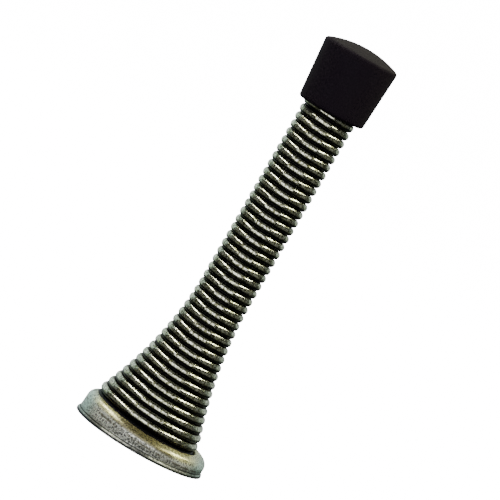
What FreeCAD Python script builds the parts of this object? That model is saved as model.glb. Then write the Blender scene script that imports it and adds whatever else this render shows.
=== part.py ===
import FreeCAD, Part
import math
import os

# Spring door stop: a close-wound coil of round wire that flares out to its foot, screwed on to
# a pressed round base, with a rubber tip pushed over its narrow end.
# The wall face of the base lies on Z = 0, and the stop stands out from it along +Z.
# The base's ring and recess lean to the right, +X, with the foot of the coil, and the recess
# stands to the left of the rim's middle. Sizes are in millimetres.

# Whole stop
stop_length = 80.87         # wall face to the top of the dome

# Coil of round wire
wire_diameter = 1.575
turn_gap = 0.045            # free space between one turn and the next
coil_diameter = 10.27       # outside, where the coil runs straight
flare_top = 31.7            # height where the coil starts to widen
flare_power = 1.98          # 1 gives a cone, more gives a trumpet
flare_diameter = 22.75      # outside of the flare if it ran on to the foot
foot_lean = 2.4             # how far the coil's axis leans at its foot, in degrees
lean_power = 1.8            # how fast the lean fades up the flare
foot_angle = 72.0           # where the wire ends in the base, in degrees from +X
wire_sides = 7              # flats around the wire
turn_sides = 11             # straight lengths in one turn, where the coil runs straight

# Pressed base
base_diameter = 25.4        # over the rim
sheet = 0.55                # thickness of the pressed sheet
rim_flare = 0.42            # how far the rim stands out past the side wall
rim_land = 0.3              # upright edge of the rim
waist_height = 1.04
waist_depth = 0.04          # how far the side wall draws in above the rim
bulge_height = 1.98         # where the side wall is full again
ring_height = 3.73          # flat top of the ring above the wall
ring_lean = 2.9             # how far the side wall and the ring lean to the right, in degrees
ring_round = 1.0            # outer bend of the ring
recess_diameter = 20.8      # opening that holds the last turn of the coil
recess_depth = 1.95         # ring top down to the recess floor
recess_round = 0.3          # bend of the ring into the recess
recess_clearance = 0.16     # last turn to the recess wall
boss_height = 6.35          # top of the boss above the wall
boss_clearance = 0.2        # boss to the inside of the coil
screw_hole_diameter = 4.8
rib_radius = 0.22           # rib on the boss that the coil screws on to
rib_turns = 1.0
rib_sides = 4
rib_steps = 12              # straight lengths in one turn of the rib

# Rubber tip
tip_length = 12.98          # mouth to the top of the dome
tip_crown = 6.05            # solid rubber from the socket to the top of the dome
tip_lean = 1.2              # how far the tip sits askew, to the left, in degrees
tip_mouth_diameter = 12.7
tip_shoulder_diameter = 14.35
dome_height = 1.44
dome_rings = 2              # straight bands from the shoulder to the top
mouth_round = 0.7
shoulder_round = 0.8
socket_clearance = 0.22     # around the coil
end_clearance = 0.2         # coil to the socket's end
foot_clearance = 0.05       # coil to the recess floor

# Worked out from the sizes above
wire_radius = wire_diameter / 2
coil_pitch = wire_diameter + turn_gap
straight_radius = coil_diameter / 2 - wire_radius
side_radius = base_diameter / 2 - rim_flare
recess_radius = recess_diameter / 2
foot_radius = recess_radius - recess_clearance - wire_radius
recess_floor = ring_height - recess_depth
foot_height = recess_floor + foot_clearance + wire_radius
flare_length = flare_top - foot_height
flare_growth = flare_diameter / 2 - wire_radius - straight_radius
tip_mouth = stop_length - tip_length
socket_end = stop_length - tip_crown
coil_top = socket_end - end_clearance - wire_radius


def flare_share(height):
    """0 where the coil runs straight, 1 at the foot of its flare."""
    return max(0.0, (flare_top - height) / flare_length)


def flare_radius(height):
    """Radius of the flare at a height on the coil's own axis."""
    return straight_radius + flare_growth * flare_share(height) ** flare_power


def coil_radius(height):
    """Radius of the wire's middle line: the recess holds the last turn in."""
    return min(foot_radius, flare_radius(height))


def coil_slope(height):
    """Growth of the coil's radius for each millimetre down."""
    if flare_radius(height) > foot_radius:
        return 0.0
    return flare_growth * flare_power * flare_share(height) ** (flare_power - 1) / flare_length


def axis_slope(height):
    """Sideways run of the coil's axis, to the right, for each millimetre up."""
    return math.tan(math.radians(foot_lean)) * flare_share(height) ** (lean_power - 1)


def axis_shift(height):
    """Sideways place of the coil's axis, left of the base's axis near the foot."""
    return -axis_slope(height) * flare_share(height) * flare_length / lean_power


def turn_step(height):
    """Turn between two points of the path: all straight lengths bow by the same amount."""
    return 2 * math.pi / turn_sides * math.sqrt(straight_radius / coil_radius(height))


def coil_point(height, angle):
    """Point on the wire's middle line, in a plane square to the leaning axis.

    It stands as far outside the true round coil as the straight lengths pass inside it.
    """
    lean = math.atan(axis_slope(height))
    radius = coil_radius(height) * 2 / (1 + math.cos(turn_step(height) / 2))
    across = radius * math.cos(angle)
    return FreeCAD.Vector(
        axis_shift(height) + across * math.cos(lean),
        radius * math.sin(angle),
        height - across * math.sin(lean),
    )


def coil_path():
    """Points up the left-hand coil: its turns rest on each other along the flare."""
    points = []
    height = foot_height
    angle = math.radians(foot_angle)
    while height < coil_top:
        points.append(coil_point(height, angle))
        step = turn_step(height)
        height += coil_pitch * step / (2 * math.pi) / math.hypot(1, coil_slope(height))
        angle -= step
    return points


def swept_polygon(path, radius, sides):
    """Sweep a regular polygon along straight runs, mitred where they meet."""
    along = (path[1] - path[0]).normalize()
    across = along.cross(FreeCAD.Vector(0, 0, 1)).normalize()
    upward = along.cross(across)
    corners = []
    for side in range(sides + 1):
        turn = 2 * math.pi * (side + 0.5) / sides
        corners.append(path[0] + across * (radius * math.cos(turn)) + upward * (radius * math.sin(turn)))
    mitred = 1
    return Part.makePolygon(path).makePipeShell([Part.makePolygon(corners)], True, False, mitred)


def coil_spring():
    """The whole spring, one wire from the recess of the base to the socket of the tip."""
    return swept_polygon(coil_path(), wire_radius, wire_sides)


def bent(corners):
    """Points of an outline from corners given as radius, height, bend radius and chords in the bend."""
    points = []
    for index, (radius, height, bend, chords) in enumerate(corners):
        corner = FreeCAD.Vector(radius, 0, height)
        if not chords:
            points.append(corner)
            continue
        before = corners[index - 1]
        after = corners[(index + 1) % len(corners)]
        back = (FreeCAD.Vector(before[0], 0, before[1]) - corner).normalize()
        onward = (FreeCAD.Vector(after[0], 0, after[1]) - corner).normalize()
        half = back.getAngle(onward) / 2
        centre = corner + (back + onward).normalize() * (bend / math.sin(half))
        start = corner + back * (bend / math.tan(half)) - centre
        end = corner + onward * (bend / math.tan(half)) - centre
        sweep = start.getAngle(end)
        for chord in range(chords + 1):
            share = chord / chords
            mixed = start * math.sin((1 - share) * sweep) + end * math.sin(share * sweep)
            points.append(centre + mixed * (1 / math.sin(sweep)))
    return points


def turned(points):
    """Surface of revolution about the stop's axis."""
    return Part.makePolygon(points).revolve(FreeCAD.Vector(0, 0, 0), FreeCAD.Vector(0, 0, 1), 360)


def revolved(corners):
    """Solid of revolution about the stop's axis from a closed outline."""
    points = bent(corners)
    face = Part.Face(Part.makePolygon(points + points[:1]))
    return face.revolve(FreeCAD.Vector(0, 0, 0), FreeCAD.Vector(0, 0, 1), 360)


def leaned(shape, lean):
    """Lean a shape to the right about the middle of the wall face."""
    return shape.rotated(FreeCAD.Vector(0, 0, 0), FreeCAD.Vector(0, 1, 0), lean)


def seated(shape):
    """Lean a shape with the foot of the coil and slide it on to the axis there."""
    slide = axis_shift(foot_height) - foot_height * axis_slope(foot_height)
    return leaned(shape, foot_lean).translated(FreeCAD.Vector(slide, 0, 0))


def level_circle(radius, height):
    """Circle about the stop's axis."""
    return Part.makeCircle(radius, FreeCAD.Vector(0, 0, height))


def side_wall():
    """Level rim, and the leaning side wall and ring that rise from it, as one bent sheet."""
    rim_radius = base_diameter / 2
    waist_radius = side_radius - waist_depth
    inner_radius = side_radius - sheet
    rim = turned(bent([
        (rim_radius - sheet, 0, 0, 0),
        (rim_radius, 0, 0, 0),
        (rim_radius, rim_land, 0, 0),
        (waist_radius, waist_height, 0, 0),
    ]))
    ring = leaned(turned(bent([
        (side_radius, bulge_height, 0, 0),
        (side_radius, ring_height, ring_round, 2),
        (boss_radius(foot_height), ring_height, 0, 0),
        (boss_radius(foot_height), ring_height - sheet, 0, 0),
        (inner_radius, ring_height - sheet, 0, 0),
        (inner_radius, waist_height, 0, 0),
    ])), ring_lean)
    outside = Part.makeRuledSurface(
        level_circle(waist_radius, waist_height),
        leaned(level_circle(side_radius, bulge_height), ring_lean),
    )
    inside = Part.makeRuledSurface(
        level_circle(rim_radius - sheet, 0),
        leaned(level_circle(inner_radius, waist_height), ring_lean),
    )
    shell = Part.makeShell(rim.Faces + ring.Faces + [outside, inside])
    shell.sewShape()
    return Part.Solid(shell)


def boss_radius(height):
    """Outside of the boss, clear of the inside of the coil."""
    return coil_radius(height) - wire_radius - boss_clearance


def boss_cup():
    """Recess wall, recess floor and boss, square to the foot of the coil."""
    wall_top = ring_height - sheet / 2
    boss_foot = boss_radius(recess_floor)
    boss_top = boss_radius(boss_height)
    return seated(revolved([
        (recess_radius + sheet, wall_top, 0, 0),
        (recess_radius, wall_top, 0, 0),
        (recess_radius, recess_floor, 0, 0),
        (boss_foot, recess_floor, 0, 0),
        (boss_top, boss_height, 0, 0),
        (0, boss_height, 0, 0),
        (0, boss_height - sheet, 0, 0),
        (boss_top - sheet, boss_height - sheet, 0, 0),
        (boss_foot - sheet, recess_floor - sheet, 0, 0),
        (recess_radius + sheet, recess_floor - sheet, 0, 0),
    ]))


def recess_cutter():
    """Opening of the recess through the top of the ring, with its bevelled edge."""
    return seated(revolved([
        (0, ring_height - 2 * sheet, 0, 0),
        (recess_radius, ring_height - 2 * sheet, 0, 0),
        (recess_radius, ring_height - recess_round, 0, 0),
        (recess_radius + 2 * recess_round, ring_height + recess_round, 0, 0),
        (0, ring_height + recess_round, 0, 0),
    ]))


def boss_rib():
    """Rib wound once round the boss, midway between the last turn of the coil and the next."""
    path = []
    for step in range(math.ceil(rib_turns * rib_steps) + 1):
        turns = step / rib_steps
        height = foot_height + coil_pitch * (turns + 0.5)
        angle = math.radians(foot_angle) - 2 * math.pi * turns
        radius = boss_radius(height)
        path.append(FreeCAD.Vector(radius * math.cos(angle), radius * math.sin(angle), height))
    return seated(swept_polygon(path, rib_radius, rib_sides))


def base_flange():
    """Pressed base: flared rim, waist, ring, recess, boss with its rib, screw hole."""
    hole_radius = screw_hole_diameter / 2
    hole = Part.makeCylinder(hole_radius, 4 * sheet, FreeCAD.Vector(0, 0, boss_height - 2 * sheet))
    pressing = side_wall().cut(recess_cutter()).fuse(boss_cup()).fuse(boss_rib())
    return pressing.cut(hole)


def rubber_tip():
    """Moulded tip: flared plug with a domed end and a blind socket, a little askew on the coil."""
    mouth_radius = tip_mouth_diameter / 2
    shoulder_radius = tip_shoulder_diameter / 2
    socket_radius = coil_diameter / 2 + socket_clearance
    shoulder = stop_length - dome_height
    dome_radius = (shoulder_radius ** 2 + dome_height ** 2) / (2 * dome_height)
    dome_angle = math.asin(shoulder_radius / dome_radius)
    dome = []
    for ring in range(1, dome_rings):
        angle = dome_angle * (1 - ring / dome_rings)
        drop = dome_radius * (1 - math.cos(angle))
        dome.append((dome_radius * math.sin(angle), stop_length - drop, 0, 0))
    plug = revolved([
        (0, socket_end, 0, 0),
        (socket_radius, socket_end, 0, 0),
        (socket_radius, tip_mouth, 0, 0),
        (mouth_radius, tip_mouth, mouth_round, 1),
        (shoulder_radius, shoulder, shoulder_round, 1),
        *dome,
        (0, stop_length, 0, 0),
    ])
    middle = FreeCAD.Vector(0, 0, (tip_mouth + socket_end) / 2)
    return plug.rotated(middle, FreeCAD.Vector(0, 1, 0), -tip_lean)


pieces = {
    "base_flange": base_flange(),
    "coil_spring": coil_spring(),
    "rubber_tip": rubber_tip(),
}
os.makedirs("parts", exist_ok=True)
for name, shape in pieces.items():
    box = shape.BoundBox
    print(f"{name}: {len(shape.Solids)} solid, {shape.Volume:.1f} mm3, "
          f"{box.XLength:.2f} x {box.YLength:.2f} x {box.ZLength:.2f} mm")
    shape.exportStep(f"parts/{name}.step")
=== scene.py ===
import math

import bpy
from mathutils import Matrix, Vector


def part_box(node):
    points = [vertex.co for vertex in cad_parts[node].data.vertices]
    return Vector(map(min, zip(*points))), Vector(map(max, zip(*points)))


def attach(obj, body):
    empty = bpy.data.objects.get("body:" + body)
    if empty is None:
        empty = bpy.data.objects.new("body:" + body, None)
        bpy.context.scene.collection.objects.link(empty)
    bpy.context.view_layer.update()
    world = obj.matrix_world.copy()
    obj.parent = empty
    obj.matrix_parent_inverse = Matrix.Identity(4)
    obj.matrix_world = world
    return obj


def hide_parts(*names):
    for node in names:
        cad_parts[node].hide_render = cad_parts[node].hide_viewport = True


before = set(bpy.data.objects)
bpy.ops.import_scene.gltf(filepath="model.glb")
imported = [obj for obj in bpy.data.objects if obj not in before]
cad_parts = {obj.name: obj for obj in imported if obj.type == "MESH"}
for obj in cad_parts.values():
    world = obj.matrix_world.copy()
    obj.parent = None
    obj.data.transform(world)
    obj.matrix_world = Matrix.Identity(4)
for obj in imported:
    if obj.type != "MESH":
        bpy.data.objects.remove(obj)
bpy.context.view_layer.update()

BASE_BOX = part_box("base_flange")
COIL_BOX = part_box("coil_spring")
TIP_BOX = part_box("rubber_tip")

bl_info = {
    "name": "Spring Door Stop",
    "version": (1, 0, 0),
    "blender": (4, 5, 0),
    "location": "View3D > Sidebar > Door Stop",
    "description": "Builds a flared spring door stop with its pressed base and rubber tip",
    "category": "Add Mesh",
}

UP = Vector((0, 0, 1))

# Clearances between the pieces, in metres
RECESS_CLEARANCE = 0.00016      # last turn to the recess wall
FOOT_CLEARANCE = 0.00005        # coil to the recess floor
BOSS_CLEARANCE = 0.0002         # boss to the inside of the coil

# Bends of the base, in metres: along its face, and then back along its underside
RIM_EDGE_BEND = 0.00006
RIM_LAND_BEND = 0.00012
WAIST_BEND = 0.0006
BULGE_BEND = 0.0005
RECESS_BEND = 0.00028
FLOOR_BEND = 0.0002
BOSS_FOOT_BEND = 0.0001
BOSS_TOP_BEND = 0.0005
HOLE_BEND = 0.0001
UNDER_TOP_BEND = 0.0001
UNDER_FOOT_BEND = 0.0004
UNDER_FLOOR_BEND = 0.0003

# Bends of the tip, in metres
SOCKET_BEND = 0.0003
MOUTH_BEND = 0.0006
SHOULDER_BEND = 0.0007

# Fineness of the meshes: sides round the axis, angle of a chord in a bend, longest straight run
BASE_SIDES, BASE_CHORD, BASE_RUN = 192, math.radians(12), 0.0008
TIP_SIDES, TIP_CHORD, TIP_RUN = 160, math.radians(9), 0.0006
DOME_RINGS = 24
SHOULDER_RINGS = 3              # rings of the dome whose place the bend of the shoulder takes
TURN_STEPS = 64                 # straight lengths in one turn of the coil
WIRE_SIDES = 16
SHARP_ANGLE = math.radians(40)
ON_AXIS = 1e-7                  # a point with a smaller radius lies on the axis

# Floor, in metres: flat, then swept up all round
FLOOR_RADIUS = 6.0
FLOOR_SWEEP = 4.0
FLOOR_SIDES = 48
FLOOR_STEPS = 12

LAMP_DISTANCE = 0.45
# Name, azimuth from the front and elevation in degrees, width and height, power, tint
LAMPS = (
    ("left_strip", -92, 54, (0.50, 0.06), 27.0, (1.0, 0.99, 0.86)),
    ("right_strip", 92, 52, (0.50, 0.06), 28.0, (1.0, 1.0, 0.74)),
    ("left_low", -80, 2, (0.50, 0.36), 0.7, (0.98, 1.0, 0.92)),
    ("right_low", 80, 2, (0.50, 0.36), 0.7, (0.98, 1.0, 0.90)),
    ("front_high", -4, 20, (0.56, 0.42), 21.0, (0.97, 0.97, 1.0)),
    ("behind", 180, 8, (1.20, 0.30), 6.5, (0.88, 1.0, 0.95)),
    ("back_left", -140, 10, (0.40, 0.50), 5.0, (0.78, 1.0, 0.94)),
    ("back_right", 140, 10, (0.40, 0.50), 0.7, (0.78, 1.0, 0.94)),
)
CLIP = (0.01, 20.0)             # nearest and farthest that the camera sees


# Sizes and colours that a user would change

def length(name, description, default):
    """A length in metres."""
    return bpy.props.FloatProperty(
        name=name, description=description, default=default, min=0, precision=5,
        subtype="DISTANCE", unit="LENGTH",
    )


def colour(name, description, default):
    """A colour in scene-linear values."""
    return bpy.props.FloatVectorProperty(
        name=name, description=description, default=default, min=0, max=1, size=3,
        subtype="COLOR",
    )


def number(name, description, default):
    """A plain number."""
    return bpy.props.FloatProperty(name=name, description=description, default=default, min=0)


def angle(name, description, degrees):
    """An angle, given here in degrees."""
    return bpy.props.FloatProperty(
        name=name, description=description, default=math.radians(degrees),
        subtype="ANGLE", unit="ROTATION",
    )


class CoilSettings(bpy.types.PropertyGroup):
    """The coil of round wire."""

    wire_diameter: length("Wire", "Thickness of the round wire, whose turns touch", 0.00162)
    coil_diameter: length("Coil", "Outside of the coil where it runs straight", 0.01027)
    flare_top: length("Flare top", "Height where the coil starts to widen", 0.0317)
    flare_power: number("Flare power", "1 gives a cone, more gives a trumpet", 1.98)
    flare_diameter: length("Flare", "Outside of the flare if it ran on to the foot", 0.02275)
    foot_lean: angle("Foot lean", "How far the coil's axis leans at its foot", 2.4)
    lean_power: number("Lean power", "How fast the lean fades up the flare", 1.8)
    foot_angle: angle("Foot angle", "Where the wire ends in the base", 72.0)
    patina: colour("Patina", "Blackened metal between the turns", (0.012, 0.011, 0.016))
    rubbed: colour("Rubbed metal", "Metal that shows on the crests", (0.68, 0.69, 0.58))
    olive: colour("Olive", "Tinted spots of the rubbed metal", (0.42, 0.47, 0.12))
    brown: colour("Brown", "Thin patina beside the crests", (0.085, 0.085, 0.040))
    # Painted shade: colour of the last turn in the recess, darker than the patina
    shadow: colour("Shadow", "Unrubbed last turn, in the recess", (0.003, 0.003, 0.004))


class BaseSettings(bpy.types.PropertyGroup):
    """The pressed base."""

    sheet: length("Sheet", "Thickness of the pressed sheet", 0.00055)
    rim_flare: length("Rim flare", "How far the rim stands out past the side wall", 0.00037)
    rim_land: length("Rim land", "Upright edge of the rim", 0.0003)
    waist_depth: length("Waist depth", "How far the side wall draws in above the rim", 0.00004)
    waist_height: length("Waist", "Height where the side wall is drawn in most", 0.00094)
    bulge_height: length("Bulge", "Height where the side wall is full again", 0.0017)
    ring_height: length("Ring height", "Flat top of the ring above the wall", 0.00380)
    ring_lean: angle("Ring lean", "How far side wall and ring lean to the right", 3.6)
    ring_pitch: angle("Ring pitch", "How far side wall and ring lean to the front", 0.7)
    ring_round: length("Ring round", "Outer bend of the ring", 0.0015)
    recess_diameter: length("Recess", "Opening that holds the last turn of the coil", 0.0208)
    recess_depth: length("Recess depth", "Ring top down to the recess floor", 0.00202)
    boss_height: length("Boss", "Top of the boss above the wall", 0.00635)
    hole_diameter: length("Screw hole", "Hole in the boss", 0.0048)
    metal: colour("Metal", "Pale mottled metal", (0.88, 0.90, 0.78))
    # Painted reflection: greenish grazing sheen on both ends of the base
    green: colour("Green", "Greenish cast towards both sides", (0.39, 0.53, 0.47))
    gold: colour("Gold", "Rubbed gold on the ring", (0.73, 0.71, 0.29))
    # Spots in the gold, and also painted shade on the very front of the ring
    tarnish_and_shade: colour("Tarnish", "Brown spots in the gold", (0.080, 0.068, 0.028))
    # Patina in the specks, and painted shade and shadows at the foot and round the rim
    dark: colour("Dark", "Patina specks and smears", (0.022, 0.024, 0.022))


class TipSettings(bpy.types.PropertyGroup):
    """The rubber tip."""

    stop_length: length("Stop length", "Wall face to the top of the dome", 0.08086)
    askew: angle("Askew", "How far the tip sits askew on the coil, to the left", 1.2)
    tip_length: length("Length", "Mouth to the top of the dome", 0.01298)
    mouth_diameter: length("Mouth", "Outside of the tip at its open end", 0.0127)
    shoulder_diameter: length("Shoulder", "Outside of the tip below the dome", 0.01435)
    dome_height: length("Dome", "Rise of the domed end", 0.00144)
    socket_diameter: length("Socket", "Inside of the tip around the coil", 0.01071)
    crown: length("Crown", "Solid rubber from the socket to the top of the dome", 0.00605)
    rubber: colour("Rubber", "Black rubber of the sides", (0.0062, 0.0033, 0.0068))
    # Partly painted light: greyer colour of the domed end, which faces up to the lamps
    bloom_and_top_light: colour("Bloom", "Greyer skin of the domed end", (0.013, 0.011, 0.013))
    chalk: colour("Chalk", "Palest grain of the domed end", (0.03, 0.027, 0.027))


class StageSettings(bpy.types.PropertyGroup):
    """Floor, lights and camera."""

    surroundings: number("Surroundings", "Strength of the even light all round", 0.04)
    surround_tint: colour("Tint", "Colour of the even light all round", (0.80, 0.90, 0.85))
    floor_glow: number("Floor glow", "How white the floor shows", 16.0)
    light: number("Light", "Strength of the lamps", 0.1)
    camera_distance: length("Camera distance", "Camera to the stop's axis", 0.667)
    camera_height: length("Camera height", "Camera above the wall face", 0.1074)
    aim_height: length("Aim", "Point on the axis in the middle of the picture", 0.0397)
    roll: angle("Roll", "Turn of the camera about its own view", 30.13)
    lens: number("Lens", "Focal length in millimetres", 273.0)


# Shader maths

class Value:
    """A shader socket that can be used in sums: each sum adds its Math node."""

    def __init__(self, finish, socket):
        self.finish = finish
        self.socket = socket

    def __add__(self, other):
        return self.finish.math("ADD", self, other)

    __radd__ = __add__

    def __sub__(self, other):
        return self.finish.math("SUBTRACT", self, other)

    def __rsub__(self, other):
        return self.finish.math("SUBTRACT", other, self)

    def __mul__(self, other):
        return self.finish.math("MULTIPLY", self, other)

    __rmul__ = __mul__

    def __abs__(self):
        return self.finish.math("ABSOLUTE", self)

    def step(self, low, high):
        """0 below low, 1 above high and smooth between them; low may be the larger."""
        return self.finish.node(
            "ShaderNodeMapRange", {"interpolation_type": "SMOOTHSTEP"},
            {"Value": self, "From Min": low, "From Max": high, "To Min": 0.0, "To Max": 1.0},
        )

    def swing(self, amount):
        """How far a noise lies from its middle, times an amount."""
        return (self - 0.5) * amount


class Finish:
    """A material that is made from expressions."""

    def __init__(self, name):
        self.material = bpy.data.materials.new(name)
        self.material.use_nodes = True
        self.tree = self.material.node_tree
        self.tree.nodes.clear()

    def node(self, kind, settings=None, inputs=None, output=0):
        """One node: its settings are set first, then the values or links of its sockets."""
        made = self.tree.nodes.new(kind)
        for key, value in (settings or {}).items():
            setattr(made, key, value)
        for key, value in (inputs or {}).items():
            if isinstance(value, Value):
                self.tree.links.new(value.socket, made.inputs[key])
            else:
                made.inputs[key].default_value = value
        return Value(self, made.outputs[output]) if made.outputs else None

    def math(self, operation, *terms):
        return self.node("ShaderNodeMath", {"operation": operation}, dict(enumerate(terms)))

    def place(self):
        return self.node("ShaderNodeTexCoord", None, None, "Object")

    def attribute(self, name):
        return self.node("ShaderNodeAttribute", {"attribute_name": name}, None, "Vector")

    def separate(self, vector):
        """The three numbers of a vector."""
        first = self.node("ShaderNodeSeparateXYZ", None, {"Vector": vector})
        return [Value(self, output) for output in first.socket.node.outputs]

    def noise(self, vector, scale, detail, roughness):
        """Noise about 0.5, with scale grains to a metre of the vector."""
        return self.node(
            "ShaderNodeTexNoise", {"noise_dimensions": "3D"},
            {"Vector": vector, "Scale": scale, "Detail": detail, "Roughness": roughness},
        )

    def stretched(self, x, y, z, roughness):
        """Noise of three numbers that each come with a scale of their own."""
        vector = self.node("ShaderNodeCombineXYZ", None, {"X": x, "Y": y, "Z": z})
        return self.noise(vector, 1.0, 2.0, roughness)

    def mix(self, factor, low, high):
        """Colour mix of low and high: inputs 6 and 7 and output 2 are the colour sockets."""
        low, high = (value if isinstance(value, Value) else (*value, 1) for value in (low, high))
        return self.node("ShaderNodeMix", {"data_type": "RGBA"}, {0: factor, 6: low, 7: high}, 2)

    def bump(self, height, distance, strength):
        inputs = {"Height": height, "Distance": distance, "Strength": strength}
        return self.node("ShaderNodeBump", None, inputs, "Normal")

    def surface(self, **sockets):
        """Principled shader; names use _ for a space."""
        inputs = {name.replace("_", " "): value for name, value in sockets.items()}
        shader = self.node("ShaderNodeBsdfPrincipled", None, inputs)
        self.node("ShaderNodeOutputMaterial", None, {"Surface": shader})
        return self.material


# Finishes: distances and heights in them are in metres

def blackened_wire(sizes):
    """Blackened wire, rubbed bright along the outer crest of each turn."""
    finish = Finish("blackened_wire")
    place = finish.place()
    height = finish.separate(place)[2]
    along, out, up = finish.separate(finish.attribute("wire_wrap"))
    mottle = finish.noise(place, 900.0, 3.0, 0.6)
    grain = finish.noise(place, 2600.0, 3.0, 0.6)
    fleck = finish.noise(place, 3000.0, 3.0, 0.65)
    scratch = finish.stretched(along * 3200.0, out * 1.3, up * 1.3, 0.6)
    streak = finish.stretched(along * 160.0, out * 9.0, up * 9.0, 0.5)

    # The crest that gets rubbed faces out; the rubbed band is tilted up, more where the coil
    # flares, so the lower side of each turn stays blackened, partly as patina and partly as
    # painted shade
    flared = height.step(0.026, 0.012)
    crest = out * 0.90 + up * 0.43 + flared * (up * 0.14 - out * 0.10)
    worn_and_lower_shade = crest + mottle.swing(0.28) + grain.swing(0.46) + streak.swing(0.16)

    # The last turn, in the recess, is not rubbed, and its colour is painted shade, darker than the
    # patina
    reach_and_recess_shade = along.step(0.045, 0.058)
    rub = worn_and_lower_shade.step(0.72, 0.88) * reach_and_recess_shade
    halo = worn_and_lower_shade.step(0.62, 0.78) * reach_and_recess_shade
    specks = fleck.step(0.46, 0.54) * 0.95
    tinted = finish.mix(grain.step(0.48, 0.66) * 0.7, sizes.rubbed, sizes.olive)
    shade = finish.mix(halo, sizes.patina, sizes.brown)
    shade = finish.mix(rub, shade, tinted)
    shade = finish.mix(specks * rub, shade, sizes.brown)
    shade = finish.mix(reach_and_recess_shade, sizes.shadow, shade)
    return finish.surface(
        Base_Color=shade,
        Metallic=0.95,
        Roughness=0.60 - reach_and_recess_shade * 0.24 - rub * 0.18 + scratch.swing(0.16),
        Normal=finish.bump(scratch * 0.5 + mottle * 0.5, 0.00001, 0.6),
    )


def pewter(sizes):
    """Mottled pale metal with rubbed gold on the ring and dark specks, and painted shade, shadows
    and sheen.
    """
    finish = Finish("antique_pewter")
    place = finish.place()
    x, y, height = finish.separate(place)
    level = height + x * math.tan(sizes.ring_lean) - y * math.tan(sizes.ring_pitch)
    cloud = finish.noise(place, 320.0, 3.0, 0.6)
    mottle = finish.noise(place, 4200.0, 3.0, 0.65)
    speck = finish.noise(place, 3200.0, 2.0, 0.5)
    drag = finish.stretched(x * 700.0, y * 700.0, height * 3000.0, 0.6)

    # Mottled metal, darker in the middle and lighter towards both sides as painted light, and
    # greenish at both ends as a painted reflection
    # Painted light: the middle is made darker and both sides lighter, added into the mottling
    sides = abs(x).step(0.001, 0.006)
    # Painted reflection: greenish sheen on both ends, which also keeps the gold off them
    ends = abs(x).step(0.0085, 0.0118)
    mottle_and_side_light = mottle.swing(4.4) + cloud.swing(1.2) + drag.swing(0.6) + sides * 0.36 - 0.16
    pale = finish.mix(ends, sizes.metal, sizes.green)
    shade = finish.mix(mottle_and_side_light.step(-0.57, 0.28), sizes.dark, pale)

    # Gold on the ring between its ends
    gilt = finish.mix(mottle_and_side_light.step(-0.32, 0.24), sizes.tarnish_and_shade, sizes.gold)
    gold = level.step(0.0025, 0.0032) * (1 - ends) * (0.6 + cloud * 0.6)
    shade = finish.mix(gold, shade, gilt)

    # A broken darker line along the side wall under the ring, and painted shade on the very front
    # of the ring
    line_under_ring = level.step(0.0018, 0.0020) * level.step(0.0024, 0.0021) * cloud.step(0.44, 0.56)
    shade = finish.mix(line_under_ring * 0.8, shade, sizes.tarnish_and_shade)
    # Painted shade: the very front of the ring is made darker
    front = y.step(-0.0095, -0.0112) * level.step(0.0024, 0.0028)
    shade = finish.mix(front * 0.85, shade, sizes.tarnish_and_shade)

    # Painted shade over the foot of the side wall, broken up by noise; painted shadows in two
    # lines round the rim; and patina in specks
    waist_shade = height.step(0.0019, 0.0006) * (0.42 + cloud.step(0.45, 0.62) * 0.45)
    shade = finish.mix(waist_shade, shade, sizes.dark)
    # Painted shadows: a line in the crease of the waist above the rim, and a line along the foot
    # where it meets the floor
    crease_shadow_line = height.step(0.00066, 0.00074) * height.step(0.00094, 0.00084)
    rim_shadow_lines = height.step(0.00052, 0.00040) + crease_shadow_line
    shade = finish.mix(rim_shadow_lines * 0.95, shade, sizes.dark)
    shade = finish.mix(speck.step(0.57, 0.65) * 0.75, shade, sizes.dark)
    return finish.surface(
        Base_Color=shade,
        Metallic=0.6 + rim_shadow_lines * 0.4,
        Roughness=0.29 + mottle.swing(0.25) + rim_shadow_lines * 0.3,
        Normal=finish.bump(mottle * 0.6 + drag * 0.4, 0.00003, 0.8),
    )


def black_rubber(sizes):
    """Matte moulded rubber; the domed end is greyer, partly from its skin and partly as painted
    light where it faces the lamps above.
    """
    finish = Finish("black_rubber")
    place = finish.place()
    height = finish.separate(place)[2]
    grain = finish.noise(place, 3000.0, 3.0, 0.6)
    cloud = finish.noise(place, 350.0, 3.0, 0.6)
    shoulder = TIP_BOX[1].z - sizes.dome_height
    # Painted light: the domed end is made greyer where it faces up, partly as its own skin
    dome = height.step(shoulder - 0.0002, shoulder + 0.0003)
    side = finish.mix(cloud.step(0.3, 0.8) * 0.15, sizes.rubber, sizes.bloom_and_top_light)
    skin = finish.mix(grain.step(0.35, 0.7) * 0.3, sizes.bloom_and_top_light, sizes.chalk)
    return finish.surface(
        Base_Color=finish.mix(dome, side, skin),
        Roughness=0.80 + grain.swing(0.15),
        Specular_IOR_Level=0.08,
        Normal=finish.bump(grain, 0.00003, 0.5),
    )


# Meshes

def piece(name, vertices, faces, material, node):
    """A smooth-shaded mesh that stands for a CAD node."""
    mesh = bpy.data.meshes.new(name)
    mesh.from_pydata(vertices, [], faces)
    mesh.shade_smooth()
    mesh.set_sharp_from_angle(angle=SHARP_ANGLE)
    mesh.materials.append(material)
    made = bpy.data.objects.new(name, mesh)
    bpy.context.scene.collection.objects.link(made)
    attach(made, "root")
    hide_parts(node)
    return made


def circle(radius, height, sides):
    """Points of a level circle about the Z axis."""
    turns = [2 * math.pi * side / sides for side in range(sides)]
    return [Vector((radius * math.cos(turn), radius * math.sin(turn), height)) for turn in turns]


def band(lower, upper):
    """Faces between two rings of vertex numbers; a ring may be one point again and again."""
    faces = []
    for side in range(len(lower)):
        after = (side + 1) % len(lower)
        corners = dict.fromkeys((lower[side], lower[after], upper[after], upper[side]))
        if len(corners) > 2:
            faces.append(list(corners))
    return faces


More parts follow.
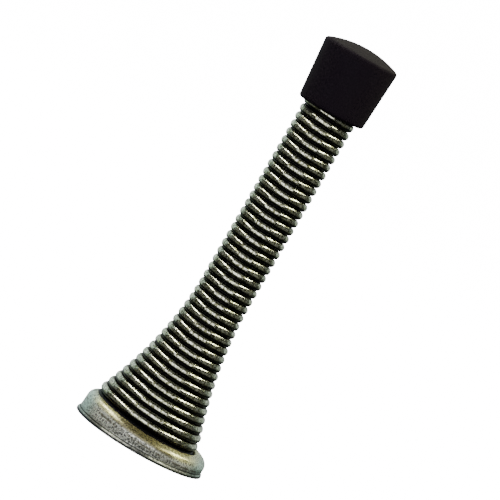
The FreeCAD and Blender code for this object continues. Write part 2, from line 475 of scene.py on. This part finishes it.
def bent(corners, chord_angle):
    """Points round a closed outline, and the placing of each.

    A corner is a radius, a height, a bend radius and a placing.
    """
    points = []
    places = []
    for index, (radius, height, bend, place) in enumerate(corners):
        corner = Vector((radius, height))
        if bend == 0:
            points.append(corner)
            places.append(place)
            continue
        back = (Vector(corners[index - 1][:2]) - corner).normalized()
        onward = (Vector(corners[(index + 1) % len(corners)][:2]) - corner).normalized()
        half = back.angle(onward) / 2
        centre = corner + (back + onward).normalized() * (bend / math.sin(half))
        start = corner + back * (bend / math.tan(half)) - centre
        end = corner + onward * (bend / math.tan(half)) - centre
        sweep = start.angle(end)
        chords = max(2, math.ceil(sweep / chord_angle))
        for chord in range(chords + 1):
            share = chord / chords
            mixed = start * math.sin((1 - share) * sweep) + end * math.sin(share * sweep)
            points.append(centre + mixed / math.sin(sweep))
            places.append(place)
    return points, places


def cut_up(points, places, longest):
    """The same outline with its long runs cut up, each from one placing over to the next."""
    cut_points = []
    cut_places = []
    for index, start in enumerate(points):
        after = (index + 1) % len(points)
        cuts = max(1, math.ceil((points[after] - start).length / longest))
        for cut in range(cuts):
            cut_points.append(start.lerp(points[after], cut / cuts))
            cut_places.append(places[index].lerp(places[after], cut / cuts))
    return cut_points, cut_places


def lathe(corners, sides, chord_angle, longest):
    """Vertices and faces of a closed outline turned about Z, each ring in its own place."""
    points, places = cut_up(*bent(corners, chord_angle), longest)
    vertices = []
    rings = []
    for (radius, height), place in zip(points, places):
        first = len(vertices)
        if radius < ON_AXIS:
            vertices.append(place @ Vector((0, 0, height)))
            rings.append([first] * sides)
        else:
            vertices += [place @ point for point in circle(radius, height, sides)]
            rings.append(list(range(first, first + sides)))
    faces = []
    for lower, upper in zip(rings, rings[1:] + rings[:1]):
        faces += band(lower, upper)
    return vertices, faces


def wind(stations, radius):
    """Vertices, faces and wraps of a round wire through its stations.

    A station is the middle of the wire and its outward way. A wrap says how far along the
    wire a vertex lies, and how far out and up of its middle, in radii.
    """
    vertices = []
    wraps = []
    travelled = 0.0
    for index, (middle, outward) in enumerate(stations):
        before = stations[max(index - 1, 0)][0]
        after = stations[min(index + 1, len(stations) - 1)][0]
        tangent = (after - before).normalized()
        outward = (outward - tangent * outward.dot(tangent)).normalized()
        upward = tangent.cross(outward)
        if upward.z < 0:
            upward = -upward
        for side in range(WIRE_SIDES):
            turn = 2 * math.pi * side / WIRE_SIDES
            out, up = math.cos(turn), math.sin(turn)
            vertices.append(middle + (outward * out + upward * up) * radius)
            wraps.append((travelled, out, up))
        travelled += (after - middle).length
    starts = range(0, len(vertices), WIRE_SIDES)
    rings = [list(range(start, start + WIRE_SIDES)) for start in starts]
    faces = []
    for lower, upper in zip(rings, rings[1:]):
        faces += [(first, *reversed(others)) for first, *others in band(lower, upper)]
    faces += [rings[0], rings[-1][::-1]]
    return vertices, faces, wraps


class CoilLaw:
    """Shape of the coil, from its sizes and the base that holds its foot."""

    def __init__(self, sizes, base):
        self.sizes = sizes
        self.wire_radius = sizes.wire_diameter / 2
        self.pitch = sizes.wire_diameter
        self.straight_radius = sizes.coil_diameter / 2 - self.wire_radius
        self.foot_radius = base.recess_diameter / 2 - RECESS_CLEARANCE - self.wire_radius
        self.foot_height = base.ring_height - base.recess_depth + FOOT_CLEARANCE + self.wire_radius
        self.flare_length = sizes.flare_top - self.foot_height
        self.growth = sizes.flare_diameter / 2 - self.wire_radius - self.straight_radius

    def share(self, height):
        """0 where the coil runs straight, 1 at its foot."""
        return max(0.0, (self.sizes.flare_top - height) / self.flare_length)

    def flare_radius(self, height):
        """Radius of the wire's middle line if nothing held the foot in."""
        return self.straight_radius + self.growth * self.share(height) ** self.sizes.flare_power

    def radius(self, height):
        """Radius of the wire's middle line: the recess holds the last turn in."""
        return min(self.foot_radius, self.flare_radius(height))

    def slope(self, height):
        """Growth of the radius going down."""
        if self.flare_radius(height) > self.foot_radius:
            return 0.0
        power = self.sizes.flare_power
        return self.growth * power * self.share(height) ** (power - 1) / self.flare_length

    def axis_slope(self, height):
        """Sideways run of the axis, to the right, going up."""
        return math.tan(self.sizes.foot_lean) * self.share(height) ** (self.sizes.lean_power - 1)

    def axis_shift(self, height):
        """Sideways place of the axis, to the left of the stop's own."""
        run = self.share(height) * self.flare_length
        return -self.axis_slope(height) * run / self.sizes.lean_power

    def foot_slide(self):
        """Sideways place, on the wall face, of the axis that the foot stands square to."""
        height = self.foot_height
        return self.axis_shift(height) - height * self.axis_slope(height)

    def station(self, height, turn):
        """Middle of the wire, and the way straight out from the axis there."""
        lean = math.atan(self.axis_slope(height))
        across = Vector((math.cos(lean), 0, -math.sin(lean)))
        radial = across * math.cos(turn) + Vector((0, 1, 0)) * math.sin(turn)
        return Vector((self.axis_shift(height), 0, height)) + radial * self.radius(height), radial

    def path(self, top):
        """Stations up the left-hand coil."""
        height = self.foot_height
        turn = self.sizes.foot_angle
        stations = []
        while height < top:
            stations.append(self.station(height, turn))
            height += self.pitch / TURN_STEPS / math.hypot(1, self.slope(height))
            turn -= 2 * math.pi / TURN_STEPS
        return stations


# Pieces

class DOORSTOP_OT_base(bpy.types.Operator):
    """Press the round base with its folded ring, boss and screw hole"""

    bl_idname = "door_stop.base"
    bl_label = "Pressed Base"

    def execute(self, context):
        sizes = context.scene.door_stop_base
        coil = context.scene.door_stop_coil
        law = CoilLaw(coil, sizes)
        level = Matrix.Identity(4)
        pitch = Matrix.Rotation(sizes.ring_pitch, 4, "X")
        lean = Matrix.Rotation(sizes.ring_lean, 4, "Y") @ pitch
        foot_lean = Matrix.Rotation(coil.foot_lean, 4, "Y")
        slide = Matrix.Translation((law.foot_slide(), 0, 0)) @ foot_lean
        sheet = sizes.sheet
        rim = BASE_BOX[1].x
        side = rim - sizes.rim_flare
        waist = side - sizes.waist_depth
        recess = sizes.recess_diameter / 2
        floor = sizes.ring_height - sizes.recess_depth
        top = sizes.boss_height
        boss_foot = law.radius(floor) - law.wire_radius - BOSS_CLEARANCE
        boss_top = law.radius(top) - law.wire_radius - BOSS_CLEARANCE
        hole = sizes.hole_diameter / 2
        corners = [
            (rim, 0, RIM_EDGE_BEND, level),
            (rim, sizes.rim_land, RIM_LAND_BEND, level),
            (waist, sizes.waist_height, WAIST_BEND, level),
            (side, sizes.bulge_height, BULGE_BEND, lean),
            (side, sizes.ring_height, sizes.ring_round, lean),
            (recess, sizes.ring_height, RECESS_BEND, slide @ pitch),
            (recess, floor, FLOOR_BEND, slide),
            (boss_foot, floor, BOSS_FOOT_BEND, slide),
            (boss_top, top, BOSS_TOP_BEND, slide),
            (hole, top, HOLE_BEND, slide),
            (hole, top - sheet, 0, slide),
            (boss_top - sheet, top - sheet, UNDER_TOP_BEND, slide),
            (boss_foot - sheet, floor - sheet, UNDER_FOOT_BEND, slide),
            (recess + sheet, floor - sheet, UNDER_FLOOR_BEND, slide),
            (rim - sheet, 0, RIM_EDGE_BEND, level),
        ]
        vertices, faces = lathe(corners, BASE_SIDES, BASE_CHORD, BASE_RUN)
        piece("pressed_base", vertices, faces, pewter(sizes), "base_flange")
        return {"FINISHED"}


class DOORSTOP_OT_coil(bpy.types.Operator):
    """Wind the coil spring from one length of round wire"""

    bl_idname = "door_stop.coil"
    bl_label = "Coil Spring"

    def execute(self, context):
        sizes = context.scene.door_stop_coil
        law = CoilLaw(sizes, context.scene.door_stop_base)
        stations = law.path(COIL_BOX[1].z - law.wire_radius)
        vertices, faces, wraps = wind(stations, law.wire_radius)
        material = blackened_wire(sizes)
        made = piece("spring_wire", vertices, faces, material, "coil_spring")
        wrap = made.data.attributes.new("wire_wrap", "FLOAT_VECTOR", "POINT")
        wrap.data.foreach_set("vector", [part for row in wraps for part in row])
        return {"FINISHED"}


class DOORSTOP_OT_tip(bpy.types.Operator):
    """Mould the rubber tip with its domed end and its socket"""

    bl_idname = "door_stop.tip"
    bl_label = "Rubber Tip"

    def execute(self, context):
        sizes = context.scene.door_stop_tip
        top = sizes.stop_length
        mouth = top - sizes.tip_length
        shoulder = top - sizes.dome_height
        socket_end = top - sizes.crown
        socket_radius = sizes.socket_diameter / 2
        shoulder_radius = sizes.shoulder_diameter / 2
        middle = Vector((0, 0, (mouth + socket_end) / 2))
        turned = Matrix.Rotation(-sizes.askew, 4, "Y")
        askew = Matrix.Translation(middle) @ turned @ Matrix.Translation(-middle)
        dome_radius = (shoulder_radius ** 2 + sizes.dome_height ** 2) / (2 * sizes.dome_height)
        dome_angle = math.asin(shoulder_radius / dome_radius)
        dome = []
        for ring in range(SHOULDER_RINGS, DOME_RINGS):
            turn = dome_angle * (1 - ring / DOME_RINGS)
            drop = dome_radius * (1 - math.cos(turn))
            dome.append((dome_radius * math.sin(turn), top - drop, 0, askew))
        corners = [
            (0, socket_end, 0, askew),
            (socket_radius, socket_end, SOCKET_BEND, askew),
            (socket_radius, mouth, SOCKET_BEND, askew),
            (sizes.mouth_diameter / 2, mouth, MOUTH_BEND, askew),
            (shoulder_radius, shoulder, SHOULDER_BEND, askew),
            *dome,
            (0, top, 0, askew),
        ]
        vertices, faces = lathe(corners, TIP_SIDES, TIP_CHORD, TIP_RUN)
        piece("moulded_tip", vertices, faces, black_rubber(sizes), "rubber_tip")
        return {"FINISHED"}


# Stage

def surround(scene, settings):
    """Even light all round."""
    world = bpy.data.worlds.new("studio")
    world.use_nodes = True
    scene.world = world
    background = world.node_tree.nodes["Background"]
    background.inputs["Color"].default_value = (*settings.surround_tint, 1)
    background.inputs["Strength"].default_value = settings.surroundings


def lay_floor(scene, settings):
    """Floor on the wall face, which sweeps up all round far behind the stop."""
    material = Finish("pale_floor").surface(
        Base_Color=(0.8, 0.8, 0.8, 1),
        Roughness=0.9,
        Emission_Color=(1, 1, 1, 1),
        Emission_Strength=settings.floor_glow,
    )
    vertices = circle(0, 0, FLOOR_SIDES)
    for step in range(FLOOR_STEPS + 1):
        turn = math.pi / 2 * step / FLOOR_STEPS
        radius = FLOOR_RADIUS + FLOOR_SWEEP * math.sin(turn)
        vertices += circle(radius, FLOOR_SWEEP * (1 - math.cos(turn)), FLOOR_SIDES)
    faces = []
    for start in range(0, len(vertices) - FLOOR_SIDES, FLOOR_SIDES):
        after = start + FLOOR_SIDES
        faces += band(range(start, after), range(after, after + FLOOR_SIDES))
    mesh = bpy.data.meshes.new("floor")
    mesh.from_pydata(vertices, [], faces)
    mesh.materials.append(material)
    floor = bpy.data.objects.new("floor", mesh)
    floor.visible_diffuse = False
    floor.visible_glossy = False
    scene.collection.objects.link(floor)


def hang_lamps(scene, settings):
    """Soft lamps all round, turned to the point that the camera aims at."""
    for name, azimuth, elevation, size, power, tint in LAMPS:
        data = bpy.data.lights.new(name, "AREA")
        data.shape = "RECTANGLE"
        data.size, data.size_y = size
        data.energy = power * settings.light
        data.color = tint
        lamp = bpy.data.objects.new(name, data)
        lamp.visible_camera = False
        aside, rise = math.radians(azimuth), math.radians(elevation)
        level = math.cos(rise)
        way = Vector((math.sin(aside) * level, -math.cos(aside) * level, math.sin(rise)))
        lamp.location = Vector((0, 0, settings.aim_height)) + way * LAMP_DISTANCE
        lamp.rotation_mode = "QUATERNION"
        lamp.rotation_quaternion = (-way).to_track_quat("-Z", "Y")
        scene.collection.objects.link(lamp)


def set_camera(scene, settings):
    """Camera in front of the stop, rolled about its own view."""
    data = bpy.data.cameras.new("camera")
    data.lens = settings.lens
    data.clip_start, data.clip_end = CLIP
    camera = bpy.data.objects.new("camera", data)
    place = Vector((0, -settings.camera_distance, settings.camera_height))
    sight = (Vector((0, 0, settings.aim_height)) - place).normalized()
    across = sight.cross(UP).normalized()
    above = across.cross(sight)
    rolled = Matrix.Rotation(-settings.roll, 3, sight)
    across, above = rolled @ across, rolled @ above
    camera.matrix_world = Matrix((
        (across.x, above.x, -sight.x, place.x),
        (across.y, above.y, -sight.y, place.y),
        (across.z, above.z, -sight.z, place.z),
        (0, 0, 0, 1),
    ))
    scene.collection.objects.link(camera)
    scene.camera = camera


class DOORSTOP_OT_stage(bpy.types.Operator):
    """Lay the pale floor and set up the lights and the camera"""

    bl_idname = "door_stop.stage"
    bl_label = "Stage"

    def execute(self, context):
        scene = context.scene
        for step in (surround, lay_floor, hang_lamps, set_camera):
            step(scene, scene.door_stop_stage)
        return {"FINISHED"}


# Operators in the order of the panel, with the name and class of their settings
PARTS = (
    (DOORSTOP_OT_base, "door_stop_base", BaseSettings),
    (DOORSTOP_OT_coil, "door_stop_coil", CoilSettings),
    (DOORSTOP_OT_tip, "door_stop_tip", TipSettings),
    (DOORSTOP_OT_stage, "door_stop_stage", StageSettings),
)


class DOORSTOP_PT_panel(bpy.types.Panel):
    """Buttons and sizes of the door stop"""

    bl_idname = "DOORSTOP_PT_panel"
    bl_label = "Spring Door Stop"
    bl_space_type = "VIEW_3D"
    bl_region_type = "UI"
    bl_category = "Door Stop"

    def draw(self, context):
        for operator, group, settings in PARTS:
            box = self.layout.box()
            box.operator(operator.bl_idname)
            for name in settings.__annotations__:
                box.prop(getattr(context.scene, group), name)


def register():
    for operator, group, settings in PARTS:
        bpy.utils.register_class(settings)
        setattr(bpy.types.Scene, group, bpy.props.PointerProperty(type=settings))
        bpy.utils.register_class(operator)
    bpy.utils.register_class(DOORSTOP_PT_panel)


def unregister():
    bpy.utils.unregister_class(DOORSTOP_PT_panel)
    for operator, group, settings in reversed(PARTS):
        bpy.utils.unregister_class(operator)
        delattr(bpy.types.Scene, group)
        bpy.utils.unregister_class(settings)


def main():
    register()
    bpy.ops.door_stop.base()
    bpy.ops.door_stop.coil()
    bpy.ops.door_stop.tip()
    bpy.ops.door_stop.stage()


if __name__ == "__main__":
    main()
